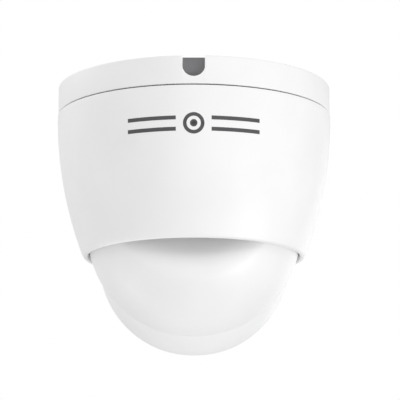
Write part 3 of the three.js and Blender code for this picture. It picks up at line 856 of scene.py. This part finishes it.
def hood_mesh():
    """The hood: a wall of a second sphere around the window, open at its rim and along its top."""
    start = math.acos((SPLIT + SPLIT_GAP / 2 - HOOD_OFFSET) / HOOD_R)
    profile = []
    steps = 80
    for r, turn in ((HOOD_R, 1), (HOOD_R - HOOD_WALL, -1)):
        arc = []
        for k in range(steps + 1):
            a = start * (1 - k / steps)
            arc.append((r * math.sin(a), HOOD_OFFSET + r * math.cos(a)))
        arc[-1] = (0, HOOD_OFFSET + r)
        profile += arc[::turn]
    wall = new_object("hood", revolve(profile, 200))
    wall.data.transform(SHELL_FRAME)
    boolean(wall, round_body(INNER_R + 0.4 * MM))
    boolean(wall, half_space(LENS_TURN, RIM_PLANE))
    boolean(wall, half_space(Matrix.Rotation(-math.radians(TILT_UP), 4, "X"), HOOD_TOP))
    boolean(wall, half_space(Matrix.Rotation(-math.pi / 2, 4, "X"), HOOD_FRONT))
    top = Matrix.Rotation(-math.radians(TILT_UP), 3, "X") @ Vector((0, 0, 1))

    def at_rim(p):
        d = p - BALL_C
        near = (RIM_PLANE - d.dot(LENS_DIR), HOOD_TOP - d.dot(top), HOOD_FRONT - d.y)
        return min(abs(n) for n in near) < 0.02 * MM

    return bevel_where(wall, at_rim, 0.7 * MM, 4, 25)


def make_front_shell():
    distance = SPLIT + SPLIT_GAP / 2
    outer = shell_grid(0, split_angle(BALL_R, distance), 64, lambda d: BALL_R)
    inner = shell_grid(0, split_angle(INNER_R, distance), 40, lambda d: INNER_R)
    shell = new_object("ball_front", skin(outer + inner[::-1], False))
    seat = ring_profile(13 * MM, 17.4 * MM, 27.6 * MM, WINDOW_PLANE + MM)
    boolean(shell, turned("boss", seat, LENS_FRAME, CUT_SIDES), "UNION")
    boolean(shell, turned("face", disc_profile(22 * MM, WINDOW_PLANE, 45 * MM), LENS_FRAME, CUT_SIDES))
    boolean(shell, hood_mesh(), "UNION")
    opening = fillet([
        (0, 20 * MM, 0),
        (14.2 * MM, 20 * MM, 0),
        (14.2 * MM, 29.6 * MM, 0),
        (15.9 * MM, 29.6 * MM, 0),
        (15.9 * MM, WINDOW_PLANE, 0),
        (15.9 * MM, WINDOW_PLANE + 0.02 * MM, 0),
        (18.6 * MM, WINDOW_PLANE + 0.02 * MM, 0),
        (18.6 * MM, WINDOW_PLANE + 4.6 * MM, 0),
        (0, WINDOW_PLANE + 4.6 * MM, 0),
    ])
    boolean(shell, turned("opening", opening, LENS_FRAME, CUT_SIDES))
    for angle in SCREW_ANGLES:
        a = math.radians(angle)
        at = SHELL_FRAME @ Matrix.Translation((27 * MM * math.sin(a), 27 * MM * math.cos(a), 0))
        post = turned("screw_post", ring_profile(1.45 * MM, 3.4 * MM, distance, 26 * MM), at, SMALL)
        boolean(post, round_body(BALL_R - 0.1 * MM), "INTERSECT")
        boolean(shell, post, "UNION")
        boolean(shell, turned("screw_seat", disc_profile(2.4 * MM, 21.2 * MM, 60 * MM), at, SMALL))
    smooth(shell)
    return finish(shell, WHITE, "ball", "ball_front_shell")


def make_shell_screws():
    for number, angle in enumerate(SCREW_ANGLES, 1):
        a = math.radians(angle)
        at = SHELL_FRAME @ Matrix.Translation((27 * MM * math.sin(a), 27 * MM * math.cos(a), 0))
        corners = [
            (0, 10.5 * MM, 0),
            (1.15 * MM, 10.5 * MM, 0.2 * MM),
            (1.15 * MM, 21.5 * MM, 0),
            (2.1 * MM, 21.5 * MM, 0.05 * MM),
            (2.1 * MM, 23 * MM, 0.3 * MM),
            (0, 23 * MM, 0),
        ]
        screw = turned(f"shell_screw_head_{number}", fillet(corners), at, SMALL)
        hexagon = [(0.9 * MM * math.cos(b), 0.9 * MM * math.sin(b)) for b in angles(6)]
        boolean(screw, extrude_outline("socket", hexagon, 22.2 * MM, 24 * MM, at))
        smooth(screw)
        finish(screw, STEEL, "ball", f"shell_screw_{number}")


# ------------------------------------------------------------------ window and lens


def make_window():
    front = WINDOW_PLANE
    pane = disc_profile(15.6 * MM, front - 1.8 * MM, front - 0.1 * MM, 0.25 * MM)
    glass = turned("window_pane", pane, LENS_FRAME, LENS_SIDES)
    finish(glass, CLEAR, "ball", "window_glass")
    seal = ring_profile(14.6 * MM, 15.6 * MM, front - 2.7 * MM, front - 2.1 * MM, 0.2 * MM)
    gasket = turned("window_seal", seal, LENS_FRAME, LENS_SIDES)
    finish(gasket, BLACK_RUBBER, "ball", "window_gasket")
    corners = [
        (14.4 * MM, front + 0.3 * MM, 0.1 * MM),
        (16.2 * MM, front + 0.3 * MM, 0.05 * MM),
        (16.2 * MM, front + 0.8 * MM, 0.15 * MM),
        (15.9 * MM, front + 1.1 * MM, 0.15 * MM),
        (14.8 * MM, front + 1.1 * MM, 0.25 * MM),
    ]
    bezel = turned("window_frame", fillet(corners), LENS_FRAME, LENS_SIDES)
    finish(bezel, BLACK_PLASTIC, "ball", "window_bezel")


def make_lens():
    front = 27.8 * MM
    steps = []
    for k in range(4):
        r = (5.4 - 0.35 * k) * MM
        z = front - (0.5 + 0.45 * k) * MM
        steps += [(r, z + 0.45 * MM, 0.03 * MM), (r, z, 0.03 * MM)]
    corners = [
        (4.2 * MM, 11 * MM, 0.1 * MM),
        (6.5 * MM, 11 * MM, 0.2 * MM),
        (6.5 * MM, front, 0.3 * MM),
        (5.75 * MM, front, 0.1 * MM),
        *steps,
    ]
    barrel = turned("lens_tube", fillet(corners), LENS_FRAME, LENS_SIDES)
    finish(barrel, SATIN_BLACK, "ball", "lens_barrel")
    dome = [(0, 25.0 * MM), (4.15 * MM, 25.0 * MM)]
    for k in range(13):
        a = math.radians(90 * k / 12)
        dome.append((4.15 * MM * math.cos(a), 25.2 * MM + 1.1 * MM * math.sin(a)))
    dome[-1] = (0, 26.3 * MM)
    element = turned("front_lens", dome, LENS_FRAME, 96)
    finish(element, COATED, "ball", "lens_front_element")


def make_lamps():
    board = ring_profile(7.2 * MM, 13.2 * MM, 24 * MM, 25.2 * MM, 0.15 * MM)
    plate = turned("lamp_plate", board, LENS_FRAME, LENS_SIDES)
    finish(plate, SATIN_BLACK, "ball", "led_board")
    for k in range(4):
        a = math.radians(45 + 90 * k)
        at = LENS_FRAME @ Matrix.Translation((10.4 * MM * math.cos(a), 10.4 * MM * math.sin(a), 0))
        profile = [
            (0, 25.5 * MM),
            (1.6 * MM, 25.5 * MM),
            (1.6 * MM, 26.1 * MM),
            (1.35 * MM, 26.2 * MM),
            (1.35 * MM, 27 * MM),
        ]
        for i in range(1, 9):
            b = math.radians(90 * i / 8)
            profile.append((1.35 * MM * math.cos(b), 27 * MM + 1.35 * MM * math.sin(b)))
        profile[-1] = (0, 28.35 * MM)
        lamp = turned(f"lamp_{k + 1}", profile, at, SMALL)
        finish(lamp, LAMP, "ball", f"infrared_led_{k + 1}")


def make_wave_spring():
    """Flat wire ring that rises and falls four times round its circle."""
    low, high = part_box("wave_spring")
    middle = (low.z + high.z) / 2
    flat = ring_profile(38.4 * MM, 41.3 * MM, middle - 0.2 * MM, middle + 0.2 * MM, 0.08 * MM)
    bm = revolve(flat)
    for v in bm.verts:
        v.co.z += 0.3 * MM * math.sin(4 * math.atan2(v.co.y, v.co.x))
    return finish(new_object("spring_ring", bm), STEEL, "housing", "wave_spring")


def dress_cad_nodes():
    """The CAD nodes that stay, each with the material of its slot."""
    for name, node in NODES.items():
        if node.hide_render:
            continue
        material = SLOT_MATERIAL[NODE_SLOT[name]]
        node.data.materials.clear()
        node.data.materials.append(material)


# ------------------------------------------------------------------ studio

CAMERA_AT = Vector((2.1, -876, -223.8)) * MM
CAMERA_PITCH = 11.87
CAMERA_LENS = 229.8
LIGHTS_AIM = Vector((0, 0, -0.045))
ROOM_LIGHT = 0.68
FLOOR_Z = -1.1
FLOOR_HALF = 6
SOFTBOXES = (
    ("key", 55, -35, 3.95),
    ("front", 5, 35, 2.6),
    ("back_right", 150, 0, 0.8),
    ("left_low", -110, -35, 2.1),
    ("left_high", -110, 35, 1.9),
)


def make_camera():
    data = bpy.data.cameras.new("camera")
    data.lens = CAMERA_LENS
    data.sensor_width = 36
    data.clip_start, data.clip_end = 0.05, 50
    camera = bpy.data.objects.new("camera", data)
    bpy.context.scene.collection.objects.link(camera)
    camera.location = CAMERA_AT
    camera.rotation_euler = (math.radians(90 + CAMERA_PITCH), 0, 0)
    bpy.context.scene.camera = camera


def softbox(name, azimuth, elevation, power):
    """A square soft light 1 m from the part; azimuth 0 is the near side, 90 is +X."""
    data = bpy.data.lights.new(name, "AREA")
    data.shape = "SQUARE"
    data.size = 0.45
    data.energy = power
    light = bpy.data.objects.new(name, data)
    bpy.context.scene.collection.objects.link(light)
    a = math.radians(azimuth)
    e = math.radians(elevation)
    out = Vector((math.sin(a) * math.cos(e), -math.cos(a) * math.cos(e), math.sin(e)))
    light.location = LIGHTS_AIM + out
    light.rotation_euler = (-out).to_track_quat("-Z", "Y").to_euler()
    return light


def make_studio():
    bm = bmesh.new()
    bmesh.ops.create_grid(bm, x_segments=1, y_segments=1, size=FLOOR_HALF)
    bmesh.ops.translate(bm, vec=(0, 0, FLOOR_Z), verts=bm.verts)
    floor = new_object("floor", bm)
    low, high = (0.80, 0.80, 0.80), (0.84, 0.84, 0.84)
    floor.data.materials.append(surface("floor", low, high, (0.7, 0.8), mottle=0.01))
    world = bpy.data.worlds.new("world")
    bpy.context.scene.world = world
    world.use_nodes = True
    tree = world.node_tree
    background = tree.nodes["Background"]
    background.inputs["Color"].default_value = (1, 1, 1, 1)
    path = tree.nodes.new("ShaderNodeLightPath")
    level = tree.nodes.new("ShaderNodeMapRange")
    level.inputs["To Min"].default_value = ROOM_LIGHT
    level.inputs["To Max"].default_value = 1.0
    tree.links.new(path.outputs["Is Camera Ray"], level.inputs["Value"])
    tree.links.new(level.outputs["Result"], background.inputs["Strength"])
    bpy.context.scene.view_settings.view_transform = "Standard"
    for name, azimuth, elevation, power in SOFTBOXES:
        softbox(name, azimuth, elevation, power)


make_base()
make_plug()
make_gasket()
make_grommet()
make_seal()
make_housing()
make_lock_screw()
make_mark()
make_rear_shell()
make_front_shell()
make_shell_screws()
make_window()
make_lens()
make_lamps()
make_wave_spring()
dress_cad_nodes()
make_camera()
make_studio()
